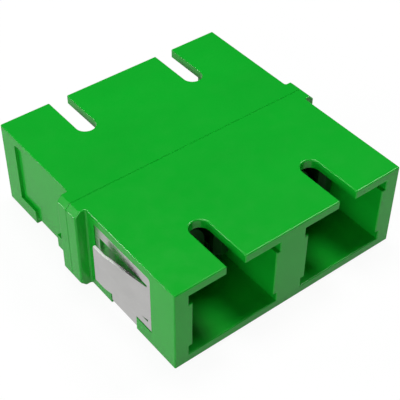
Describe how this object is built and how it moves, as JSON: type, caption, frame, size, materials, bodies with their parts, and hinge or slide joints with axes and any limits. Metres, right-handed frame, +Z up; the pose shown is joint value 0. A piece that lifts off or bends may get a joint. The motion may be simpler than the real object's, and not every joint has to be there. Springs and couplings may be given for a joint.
{
  "type": "duplex fibre optic adapter",
  "caption": "Green duplex fibre adapter: two square keyed ports on each end, short side ears and a sprung sheet-steel panel clip.",
  "frame": {"origin": "middle of the underside of the housing, half way along the fibres", "axes": "+X across the two ports, +Y along the fibres from the front ports to the rear ports, +Z up through the keyways"},
  "size_m": [0.0278, 0.0272, 0.0093],
  "materials": {
    "green_plastic": "fine satin moulded thermoplastic",
    "insert_plastic": "satin moulded thermoplastic",
    "spring_steel": "bright rolled stainless sheet",
    "zirconia": "polished white ceramic"
  },
  "bodies": {
    "root": {"housing_front": "green_plastic", "housing_rear": "green_plastic", "retaining_clip": "spring_steel", "latch_insert_front_a": "insert_plastic", "latch_insert_rear_a": "insert_plastic", "latch_insert_front_b": "insert_plastic", "latch_insert_rear_b": "insert_plastic", "split_sleeve_a": "zirconia", "split_sleeve_b": "zirconia"}
  },
  "joints": []
}
